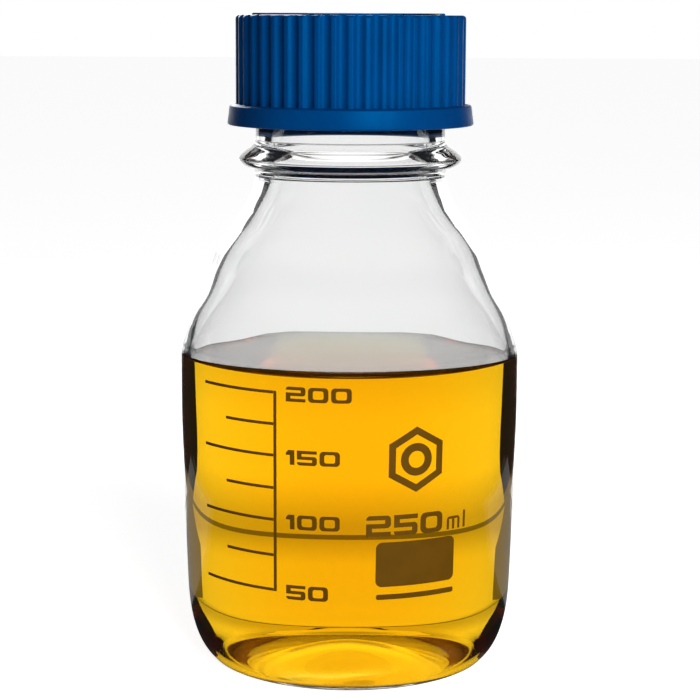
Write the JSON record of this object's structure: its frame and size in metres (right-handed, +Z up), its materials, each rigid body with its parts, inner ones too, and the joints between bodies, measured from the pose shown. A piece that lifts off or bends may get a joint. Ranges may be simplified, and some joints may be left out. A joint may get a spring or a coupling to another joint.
{
  "type": "reagent bottle",
  "caption": "Clear glass laboratory bottle with a ribbed blue screw cap, seal, pouring ring, printed scale and amber liquid inside.",
  "frame": {"origin": "centre of the ring that the base stands on, on the table's plane", "axes": "+Z up along the bottle's axis, -Y out of the printed front, +X to the right of the print"},
  "size_m": [0.073, 0.0731, 0.1394],
  "materials": {
    "clear_glass": "clear polished borosilicate glass",
    "cap_plastic": "satin moulded polypropylene, strong blue",
    "ring_plastic": "satin moulded polypropylene, blue",
    "silicone": "matt silicone rubber",
    "inert_facing": "smooth waxy fluoropolymer film",
    "amber_liquid": "clear amber-yellow liquid",
    "fired_print": "brown fired enamel print, satin"
  },
  "bodies": {
    "bottle": {"glass_bottle": "clear_glass", "pouring_ring": "ring_plastic", "amber_liquid": "amber_liquid", "scale_lines": "fired_print", "numeral_200": "fired_print", "numeral_150": "fired_print", "numeral_100": "fired_print", "numeral_50": "fired_print", "capacity_mark": "fired_print", "write_on_panel": "fired_print", "emblem": "fired_print", "plain_bar": "fired_print"},
    "seal": {"seal_disc": "silicone", "seal_facing": "inert_facing"},
    "cap": {"cap_shell": "cap_plastic"}
  },
  "joints": [
    {"name": "cap_rise", "type": "slide", "parent": "bottle", "child": "seal", "axis": [0, 0, 1], "range_m": [0, 0.0241]},
    {"name": "cap_turn", "type": "hinge", "parent": "seal", "child": "cap", "pos_m": [0, 0, 0.139], "axis": [0, 0, 1], "range_deg": [0, 2160]}
  ],
  "couplings": [
    {"joint": "cap_rise", "follows": "cap_turn", "m_per_rad": 0.00063662}
  ]
}
